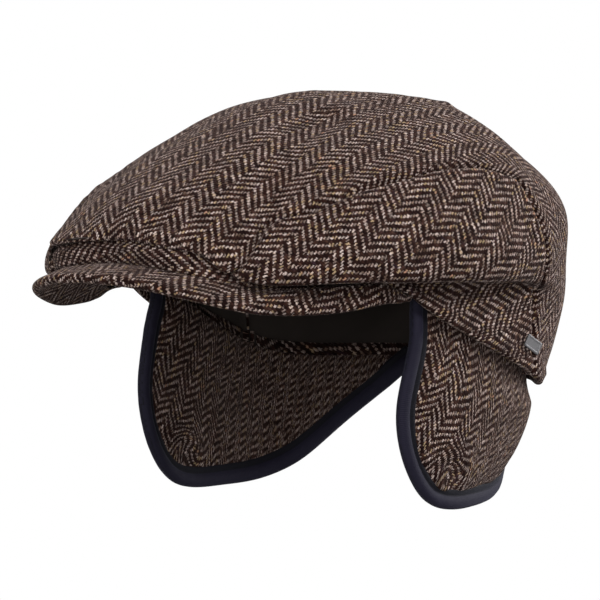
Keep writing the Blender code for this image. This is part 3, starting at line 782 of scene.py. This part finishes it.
def peak():
    """Stiff arched peak with cloth over its upper side, round its front edge and underneath."""
    columns, rows, nose_rows = 131, 26, 10
    angles = np.linspace(-PEAK_RIGHT_END, PEAK_HALF_ANGLE, columns)
    to_end = np.where(angles < 0, PEAK_RIGHT_END + angles, PEAK_HALF_ANGLE - angles)
    end_share = between(to_end, (0, PEAK_END_REACH))
    thickness = PEAK_THICKNESS * (PEAK_END_THICKNESS + (1 - PEAK_END_THICKNESS) * end_share)
    middle = peak_middle(angles, thickness, rows)
    run = unit(np.gradient(middle, axis=0))
    normal = np.cross(np.gradient(middle, axis=1), run)
    normal = unit(normal * np.sign(normal[..., 2:]))
    half = (thickness / 2)[None, :, None]
    upper, lower = middle + half * normal, middle - half * normal
    nose = []
    for turn in np.linspace(0, pi, nose_rows)[1:-1]:
        nose.append(middle[-1] + half[0] * (cos(turn) * normal[-1] + sin(turn) * run[-1]))
    upper = upper + waves(upper, PEAK_WAVES, seed=21.0)[..., None] * normal
    surface = np.concatenate([upper, np.array(nose), lower[::-1]])
    over = flatten(upper, (0.0, 0.5), (1.0, 0.5), turn=PEAK_TURN)
    beyond = unit(over[-1] - over[-2])
    arc_step = (thickness / 2 * pi / (nose_rows - 1))[:, None]
    nose_flat = np.array([over[-1] + (k + 1) * arc_step * beyond for k in range(nose_rows - 2)])
    under = over[::-1] + nose_flat[-1] - over[-1] + PEAK_UNDERSIDE
    piece = piece_from_grid("peak_cloth", surface, np.concatenate([over, nose_flat, under]), [tweed])
    close(piece)
    stand_for(piece, "peak")


def flap_surface(points, inward=0.0):
    """Middle of the flap for angle and height points (n, 2). inward moves towards the head."""
    angle, height = points[:, 0], points[:, 1]
    lean = FLAP_LEAN * between(height, FLAP_LEAN_HEIGHTS) ** 1.5
    rear_lean = REAR_LEAN * np.clip(REAR_LEAN_HEIGHT - height, 0, 1)
    lean += smooth_step(angle, REAR_LEAN_ANGLES) * (rear_lean - lean)
    foot = section_values(angle)
    lean += ridge(foot[:, 1] - height, *RIM_INSET)
    distance = foot[:, 0] - FLAP_INSET - FLAP_THICKNESS / 2 - lean - inward
    return polar(np.column_stack([distance, height]), angle)


def flap_outline(distance, shares):
    """The flap's free edge moved inside by a distance. It starts and ends behind the rim."""
    start_angle = FLAP_EDGE[0][0]
    start = (start_angle, section_values([start_angle])[0, 1] + FLAP_TUCK)
    line = run_at(np.array((start,) + FLAP_EDGE) * FLAP_SCALE, shares)
    return shifted(line, -distance) / FLAP_SCALE


def flap_patch(across, along):
    """Angle and height of each grid point of a flap's tweed, which ends inside the binding."""
    outline = flap_outline(TWEED_INSET, np.linspace(0, 1, FLAP_OUTLINE_POINTS))
    rim = section_values(outline[:, 0])[:, 1]
    outline = outline[outline[:, 1] < rim + FLAP_TUCK - TUCK_SPARE]
    corner = len(outline) // 3
    top_angles = outline[0, 0] + (outline[-1, 0] - outline[0, 0]) * across
    top = np.column_stack([top_angles, section_values(top_angles)[:, 1] + FLAP_TUCK])
    front = np.concatenate([[top[0]], outline[:corner:FLAP_OUTLINE_STEP], [outline[corner]]])
    lower = np.concatenate([outline[corner:-1:FLAP_OUTLINE_STEP], [outline[-1]]])
    front = run_at(front * FLAP_SCALE, along) / FLAP_SCALE
    lower = run_at(lower * FLAP_SCALE, across) / FLAP_SCALE
    back = top[-1] + (outline[-1] - top[-1]) * along[:, None]
    return patch(top, lower, front, back, across, along)


def flap_weave(laid, from_swirl):
    """Weave of a flap laid flat: twisted where the padding is gathered, and set at a slant."""
    weave = turned_by(laid, SWIRL_PLACE, ridge(from_swirl, *SWIRL_TWIST))
    deep = np.concatenate([laid, np.zeros(laid.shape[:2] + (1,))], axis=2)
    weave = weave + np.stack([waves(deep, SWIRL_PULL, seed) for seed in (41.0, 47.0)], axis=2)
    behind = np.clip(laid[..., 0] - radians(GATHER_ANGLE) * FLAP_RADIUS, 0, 1)
    weave[..., 0] += GATHER * behind ** 2
    return upright(weave, FLAP_COLUMNS)


def flap_cloth(word, side):
    """Padded tweed of a flap, which swells between its bindings."""
    columns, rows = 64, 56
    across, along = np.linspace(0, 1, columns), np.linspace(0, 1, rows)
    points = flap_patch(across, along)
    s, t = np.meshgrid(across, along)
    to_edge = PAD_STEEPNESS * np.minimum(np.minimum(s, 1 - s), 1 - t)
    fill = PAD_EDGE_SHARE + (1 - PAD_EDGE_SHARE) * np.clip(to_edge, 0, 1) ** 0.5
    half = fill.ravel() * FLAP_THICKNESS / 2
    flat = points.reshape(-1, 2)
    outer, inner = (flap_surface(flat, way * half).reshape(rows, columns, 3) for way in (-1, 1))
    puckers = waves(outer, FLAP_PUCKERS, seed=37.0) * ridge(np.clip(to_edge, 0, 2), 1.0, 0.0, PUCKER_REACH)
    lift = waves(outer, FLAP_WAVES, seed=31.0) + puckers
    at_top, at_foot = np.clip(PUFF_STARTS[0] * t, 0, 1), np.clip(PUFF_STARTS[1] * (1 - t), 0, 1)
    lift += FLAP_PUFF * (1 - (2 * s - 1) ** 2) * at_top * at_foot ** 0.5
    laid = points * FLAP_SCALE
    from_swirl = np.linalg.norm(laid - SWIRL_PLACE, axis=2)
    lift += ridge(from_swirl, *SWIRL_DENT) + ridge(from_swirl, *SWIRL_RING)
    outer = outer + grid_normals(outer) * lift[..., None]
    weave = flap_weave(laid, from_swirl).reshape(-1, 2)
    places = np.concatenate([outer.reshape(-1, 3), inner.reshape(-1, 3)]) * (side, 1, 1)
    count = columns * rows
    faces = grid_faces(rows, columns) + [face[::-1] for face in grid_faces(rows, columns, count)]
    number = np.arange(count).reshape(rows, columns)
    rim = np.concatenate([number[0], number[1:, -1], number[-1, -2::-1], number[-2:0:-1, 0]]).tolist()
    for a, b in zip(rim, rim[1:] + rim[:1]):
        faces.append((a, b, b + count, a + count))
    weave = np.concatenate([weave, weave + INNER_SHIFT])
    piece = mesh_piece(f"flap_{word}", places.tolist(), faces, [tweed], weave)
    close(piece)
    stand_for(piece, f"earflap_{word}")


def binding(word, side):
    """Folded tape round a flap's free edge: a soft roll, a stitched groove and a flat lip on the tweed."""
    shares = np.linspace(0, 1, TAPE_STATIONS)
    profile = np.array(TAPE_PROFILE) * MM
    middle = np.array([flap_surface(flap_outline(reach, shares)) for reach in profile[:, 0]])
    length = lengths(middle[len(profile) // 2])
    ripple = [noise.noise(Vector((x / TAPE_RIPPLE_LENGTH, 0.0, 4.0))) for x in length]
    thickness = profile[:, 1:] * (1 + TAPE_RIPPLE * np.array(ripple)[None])
    half = thickness[..., None] * grid_normals(middle)
    outer, inner = middle + half, middle - half
    surface = np.concatenate([outer, inner[-2:0:-1], outer[:1]])
    round_it = np.concatenate([profile, profile[-2:0:-1] * (1, -1), profile[:1]])
    around = np.broadcast_to(lengths(round_it)[:, None], surface.shape[:2])
    weave = np.stack([np.broadcast_to(length, surface.shape[:2]), around], axis=2)
    surface, weave = surface.transpose(1, 0, 2), weave.transpose(1, 0, 2)
    piece = piece_from_grid(f"binding_{word}", surface, weave, [tape], side)
    close(piece, WELD)
    stand_for(piece, f"flap_binding_{word}")


def operator(operation, swapped=False):
    """Method that works out a sum, product or the like of a number and another one by a node."""
    def apply(self, other):
        values = (other, self) if swapped else (self, other)
        return self.shader.math(operation, *values)
    return apply


class Number:
    """A number that a material's nodes work out, so that its formulas can be written as such."""

    def __init__(self, shader, socket):
        self.shader = shader
        self.socket = socket

    __add__ = __radd__ = operator("ADD")
    __sub__ = operator("SUBTRACT")
    __rsub__ = operator("SUBTRACT", swapped=True)
    __mul__ = __rmul__ = operator("MULTIPLY")
    __truediv__ = operator("DIVIDE")
    __mod__ = operator("FLOORED_MODULO")


class Shader:
    """Builds a material's node tree from numbers, textures and colours."""

    def __init__(self, name, **looks):
        self.material = bpy.data.materials.new(name)
        self.material.use_nodes = True
        self.tree = self.material.node_tree
        self.surface = self.tree.nodes["Principled BSDF"]
        self.look(**looks)

    def look(self, **looks):
        """Sets the surface's own sockets, with underscores for spaces."""
        for name, value in looks.items():
            self.put(self.surface.inputs[name.replace("_", " ")], value)

    def put(self, socket, value):
        if isinstance(value, Number):
            value = value.socket
        if isinstance(value, bpy.types.NodeSocket):
            self.tree.links.new(value, socket)
        elif isinstance(value, tuple):
            socket.default_value = value + (1.0,)
        else:
            socket.default_value = value

    def node(self, kind, inputs, **settings):
        """A node of a kind with values or links on its inputs."""
        made = self.tree.nodes.new("ShaderNode" + kind)
        for name, value in settings.items():
            setattr(made, name, value)
        for name, value in inputs.items():
            self.put(made.inputs[name], value)
        return made

    def math(self, operation, *values):
        return Number(self, self.node("Math", dict(enumerate(values)), operation=operation).outputs[0])

    def clamp(self, value, most=1.0):
        return self.math("MINIMUM", self.math("MAXIMUM", value, 0.0), most)

    def mix(self, share, first, second):
        inputs = {0: share, 6: first, 7: second}
        return self.node("Mix", inputs, data_type="RGBA", clamp_factor=True).outputs[2]

    def combine(self, *parts):
        return self.node("CombineXYZ", dict(enumerate(parts))).outputs[0]

    def split(self, vector):
        parts = self.node("SeparateXYZ", {0: vector}).outputs
        return [Number(self, part) for part in parts]

    def noise(self, vector, scale, detail=2.0, roughness=0.5):
        inputs = {"Vector": vector, "Scale": scale, "Detail": detail, "Roughness": roughness}
        return Number(self, self.node("TexNoise", inputs).outputs["Fac"])

    def random(self, vector):
        made = self.node("TexWhiteNoise", {"Vector": vector}, noise_dimensions="3D")
        return Number(self, made.outputs["Value"])

    def ramp(self, value, stops):
        made = self.node("ValToRGB", {"Fac": value})
        elements = made.color_ramp.elements
        while len(elements) < len(stops):
            elements.new(1.0)
        for element, (place, colour) in zip(elements, stops):
            element.position = place
            element.color = colour + (1.0,)
        return made.outputs["Color"]

    def weave(self):
        """The weave's place as a vector, and its two numbers: across and along the columns."""
        place = self.node("Attribute", {}, attribute_name="weave").outputs["Vector"]
        return [place] + self.split(place)[:2]

    def bump(self, height, strength, distance):
        made = self.node("Bump", {"Strength": strength, "Distance": distance, "Height": height})
        self.look(Normal=made.outputs["Normal"])


# The tweed's unevenness, in yarns, and its noises: scale per metre, detail and roughness
DRIFT = 2.6
YARN_WANDER = 1.5
DRIFT_NOISE = (70.0, 1.0)
YARN_WANDER_NOISE = (330.0, 2.0)
HAIR_NOISE = (1500.0, 1.0)
FIBRE_NOISE = (2700.0, 2.0, 0.8)
STRAND_NOISE = (1700.0, 2.0)
TONE_NOISE = (55.0, 2.0)
WEAR_NOISE = (150.0, 3.0, 0.6)
# How strongly the light and dark yarns, one dash, larger places, hairs and wear change the tweed's colour
LIGHT_CONTRAST = 2.2
DARK_CONTRAST = 2.4
DASH_CONTRAST = 0.34
DASH_LIGHT = 0.85
TONE_CONTRAST = 1.1
FUZZ_CONTRAST = 2.1
WEAR_CONTRAST = 1.3
# near-black colour of the painted shade in the weave's low places
DEEP_SHADE = (0.003, 0.0015, 0.0015)
INNER_RIBS = 9000.0
TAPE_RIB = 0.0007
TAPE_THREAD = 0.0005
# way round the tape over which the painted shade on its lip fades in
TAPE_LIP_SHADE_FADE = 0.0008
BRUSH_LENGTHS = (300.0, 300.0, 6000.0)  # brush marks per metre, along the level ways and up
LIGHT_YARN = (
    # place on the ramp, colour
    (0.00, (0.105, 0.062, 0.042)), (0.20, (0.205, 0.134, 0.102)), (0.36, (0.325, 0.250, 0.218)),
    (0.48, (0.215, 0.148, 0.128)), (0.62, (0.400, 0.325, 0.300)), (0.76, (0.280, 0.190, 0.120)),
    (0.88, (0.210, 0.155, 0.085)), (1.00, (0.310, 0.170, 0.115)),
)
DARK_YARN = (
    (0.00, (0.0085, 0.0030, 0.0026)), (0.45, (0.0200, 0.0080, 0.0060)), (0.75, (0.0420, 0.0195, 0.0140)),
    (1.00, (0.0260, 0.0130, 0.0170)),
)


def yarn_place(shader, place, across, along):
    """Place in the weave, in yarns across and along, with whole columns and single yarns a little astray."""
    wander = shader.noise(place, *YARN_WANDER_NOISE)
    wander_along = shader.noise(shader.combine(across + 5.0, along, 3.0), *YARN_WANDER_NOISE)
    hair = shader.noise(place, *HAIR_NOISE) - 0.5
    drift = DRIFT * (shader.noise(place, *DRIFT_NOISE) - 0.5)
    u = across / YARN + YARN_WANDER * (wander - 0.5) + drift + hair
    return u, along / YARN + YARN_WANDER * (wander_along - 0.5)


def make_tweed():
    """Herringbone of light yarns along the columns and dark yarns across, two over and two under."""
    shader = Shader("tweed", Roughness=0.95, Specular_IOR_Level=0.03)
    m = shader.math
    place, across, along = shader.weave()
    u, v = yarn_place(shader, place, across, along)
    i, j = m("FLOOR", u), m("FLOOR", v)
    column = m("FLOOR", u / COLUMN_YARNS)
    odd = column % 2.0
    sign = 1.0 - 2.0 * odd
    # Each yarn lies on top for two yarns of four, one yarn further on in each next row
    slant = v - sign * i + 2.0 * odd
    light_run = slant % 4.0
    dark_run = (j - sign * u + 0.5 * (sign + 1.0) + 2.0 * odd) % 4.0
    light_arc = m("SINE", light_run * (pi / 2))
    dark_arc = m("SINE", (dark_run - 2.0) * (pi / 2))
    in_u = m("ABSOLUTE", 2.0 * m("FRACT", u) - 1.0)
    in_v = m("ABSOLUTE", 2.0 * m("FRACT", v) - 1.0)

    # Where the light yarn covers the dark one, with hairy sides and thick and thin places
    fibre = shader.noise(place, *FIBRE_NOISE)
    strand = shader.noise(shader.combine(2.0 * across, 0.5 * along), *STRAND_NOISE)
    slub = shader.noise(shader.combine(1.37 * i, 0.33 * v, 11.0), 1.0, 1.0)
    side = 1.5 * slub + 0.06 - in_u - 1.1 * (fibre - 0.5)
    cover = m("MINIMUM", 3.2 * side + 0.35, 3.0 * light_arc - 0.35)
    cover = shader.clamp(cover) * m("LESS_THAN", light_run, 2.0)
    light_height = (1.0 - 0.85 * in_u * in_u) * (0.45 * light_arc + 0.55)
    dark_height = (1.0 - 0.85 * in_v * in_v) * (0.35 * dark_arc + 0.30)
    height = dark_height + cover * (light_height - dark_height)

    # Colours change slowly along a yarn and from one dash of it to the next
    dash = shader.random(shader.combine(i, m("FLOOR", slant / 4.0), column))
    along_light = shader.noise(shader.combine(0.73 * i, 0.10 * v), 1.0, 3.0, 0.7)
    along_dark = shader.noise(shader.combine(0.61 * j, 0.11 * u, 7.0), 1.0)
    tone = shader.noise(place, *TONE_NOISE)
    light_shade = LIGHT_CONTRAST * (along_light - 0.5) + DASH_CONTRAST * (dash - 0.5) + 0.5
    light_shade = light_shade + TONE_CONTRAST * (tone - 0.5)
    dark_shade = DARK_CONTRAST * (along_dark - 0.5) + 0.5
    yarn = shader.mix(cover, shader.ramp(dark_shade, DARK_YARN), shader.ramp(light_shade, LIGHT_YARN))
    fuzz = FUZZ_CONTRAST * (fibre + strand - 1.0) + 0.85
    worn = WEAR_CONTRAST * (shader.noise(place, *WEAR_NOISE) - 0.5) + 0.52
    # painted shade: the yarns are darker where they lie lower in the weave (height), on top of the tone from
    # hairs, wear and each dash; low values go towards DEEP_SHADE
    painted_shade_and_tone = (0.75 * height + 0.45) * fuzz * (worn + DASH_LIGHT * dash * dash)
    shader.look(Base_Color=shader.mix(painted_shade_and_tone, DEEP_SHADE, yarn), Sheen_Weight=0.08, Sheen_Roughness=0.22,
                Sheen_Tint=(0.90, 0.70, 0.66))
    shader.bump(height + 0.5 * fibre, 0.9, 0.0004)
    return shader.material


def make_inner_cloth():
    """Plain dark cloth of the wall's inner side."""
    shader = Shader("inner_cloth", Roughness=0.9, Specular_IOR_Level=0.1)
    place, across, along = shader.weave()
    ribs = shader.math("SINE", across * INNER_RIBS) * shader.math("SINE", along * INNER_RIBS)
    cloudy = shader.noise(place, 60.0, 3.0)
    shader.look(Base_Color=shader.mix(cloudy, (0.020, 0.016, 0.014), (0.040, 0.032, 0.028)))
    shader.bump(ribs, 0.3, 0.0001)
    return shader.material


def make_tape():
    """Dark navy tape: fine ribs across it and a soft sheen, with painted shade that darkens its lip, where it
    lies low in the stitched groove.
    """
    shader = Shader("navy_tape", Roughness=0.75, Specular_IOR_Level=0.09)
    place, along, around = shader.weave()
    ribs = shader.math("SINE", along * (2 * pi / TAPE_RIB))
    threads = shader.math("SINE", around * (2 * pi / TAPE_THREAD))
    cloudy = shader.noise(place, 90.0, 3.0)
    navy = shader.mix(cloudy, (0.0050, 0.0045, 0.0095), (0.0100, 0.0088, 0.0175))
    # painted shade: the tape's lip, low in the stitched groove, is mixed towards near black
    lip = shader.clamp((TAPE_LIP - shader.math("ABSOLUTE", around - TAPE_TURN)) / TAPE_LIP_SHADE_FADE, 0.85)
    shader.look(Base_Color=shader.mix(lip, navy, (0.002, 0.002, 0.003)), Sheen_Weight=0.05,
                Sheen_Roughness=0.4, Sheen_Tint=(0.55, 0.57, 0.8))
    shader.bump(ribs + 0.5 * threads, 0.35, 0.0001)
    return shader.material


def make_plate():
    """Bare brushed metal."""
    shader = Shader("brushed_plate", Roughness=0.62, Specular_IOR_Level=0.5, Metallic=1.0)
    along, across, up = shader.split(shader.node("TexCoord", {}).outputs["Object"])
    grain = shader.combine(along * BRUSH_LENGTHS[0], across * BRUSH_LENGTHS[1], up * BRUSH_LENGTHS[2])
    brushed = shader.noise(grain, 1.0, 3.0)
    shader.look(Base_Color=shader.mix(brushed, (0.10, 0.10, 0.105), (0.175, 0.17, 0.175)))
    shader.bump(brushed, 0.2, 0.0001)
    return shader.material


def badge():
    """Bare plate with a raised border, at the foot of the left rear seam."""
    low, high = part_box("badge_plate")
    middle = (low + high) / 2 + Vector(PLATE_SHIFT)
    facing, tilt = radians(PLATE_FACING), radians(PLATE_TILT)
    out = Vector((sin(facing), -cos(facing), 0.0))
    level = Vector((cos(facing), sin(facing), 0.0))
    long_way = level * cos(tilt) - Vector((0, 0, sin(tilt)))
    short_way = out.cross(long_way)
    places, faces = [], []
    for inset, depth in PLATE_RINGS:
        for across, along in ((-1, -1), (1, -1), (1, 1), (-1, 1)):
            place = middle + long_way * across * (PLATE_LENGTH / 2 - inset)
            place = place + short_way * along * (PLATE_WIDTH / 2 - inset) + out * depth * PLATE_THICKNESS
            places.append(place[:])
    for a in range(len(places) - 4):
        b = a + 1 if a % 4 < 3 else a - 3
        faces.append((a, b, b + 4, a + 4))
    faces.append((3, 2, 1, 0))
    faces.append(tuple(range(len(places) - 4, len(places))))
    piece = mesh_piece("plate", places, faces, [make_plate()])
    close(piece)
    stand_for(piece, "badge_plate")


def camera():
    azimuth, elevation = radians(CAMERA_AZIMUTH), radians(CAMERA_ELEVATION)
    back = Vector((sin(azimuth) * cos(elevation), -cos(azimuth) * cos(elevation), sin(elevation)))
    right = Vector((cos(azimuth), sin(azimuth), 0))
    up = back.cross(right)
    across = (ORIGIN_PIXEL[0] - PICTURE_MIDDLE) / PIXELS_PER_METRE
    down = (PICTURE_MIDDLE - ORIGIN_PIXEL[1]) / PIXELS_PER_METRE
    target = -across * right - down * up
    data = bpy.data.cameras.new("camera")
    data.lens = CAMERA_LENS
    data.sensor_width = CAMERA_SENSOR
    eye = added("camera", data)
    eye.location = target + CAMERA_DISTANCE * back
    eye.rotation_mode = "QUATERNION"
    eye.rotation_quaternion = back.to_track_quat("Z", "Y")
    bpy.context.scene.camera = eye
    return right, back


def lamp(name, place, size, power):
    """Round lamp that faces the cap."""
    data = bpy.data.lights.new(name, "AREA")
    data.energy = power
    data.shape = "DISK"
    data.size = size
    light = added(name, data)
    light.location = place
    light.rotation_mode = "QUATERNION"
    light.rotation_quaternion = place.to_track_quat("Z", "Y")


def seen_white(tree, kind, lit, output):
    """The floor and the surround look plain white in the picture, but not in the light they give."""
    rays = tree.nodes.new("ShaderNodeLightPath")
    white = tree.nodes.new(kind)
    white.inputs["Color"].default_value = (1.0, 1.0, 1.0, 1.0)
    choice = tree.nodes.new("ShaderNodeMixShader")
    tree.links.new(rays.outputs["Is Camera Ray"], choice.inputs[0])
    tree.links.new(lit, choice.inputs[1])
    tree.links.new(white.outputs[0], choice.inputs[2])
    tree.links.new(choice.outputs[0], tree.nodes[output].inputs["Surface"])


def studio(right, back):
    """Pale floor and soft light, as round the photographed cap."""
    mesh = bpy.data.meshes.new("floor")
    work = bmesh.new()
    bmesh.ops.create_grid(work, x_segments=1, y_segments=1, size=FLOOR_SIZE)
    work.to_mesh(mesh)
    work.free()
    shader = Shader("floor", Roughness=0.9, Specular_IOR_Level=0.0, Base_Color=(FLOOR_SHADE,) * 3)
    seen_white(shader.tree, "ShaderNodeEmission", shader.surface.outputs[0], "Material Output")
    mesh.materials.append(shader.material)
    floor = added("floor", mesh)
    floor.location.z = cad_low.z - FLOOR_DROP
    world = bpy.data.worlds.new("studio")
    world.use_nodes = True
    surround = world.node_tree.nodes["Background"]
    surround.inputs["Color"].default_value = (1.0, 1.0, 1.0, 1.0)
    surround.inputs["Strength"].default_value = SURROUND_LIGHT
    seen_white(world.node_tree, "ShaderNodeBackground", surround.outputs[0], "World Output")
    bpy.context.scene.world = world
    for name, ahead, aside, above, size, power in LAMPS:
        lamp(name, back * ahead + right * aside + Vector((0, 0, above)), size, power)
    view = bpy.context.scene.view_settings
    view.view_transform = "Standard"
    view.look = "None"


right, back = camera()
studio(right, back)
tweed = make_tweed()
inner_cloth = make_inner_cloth()
tape = make_tape()
crown_top()
band()
peak()
for word, side in (("left", 1), ("right", -1)):
    side_of_crown(word, side)
    flap_cloth(word, side)
    binding(word, side)
badge()
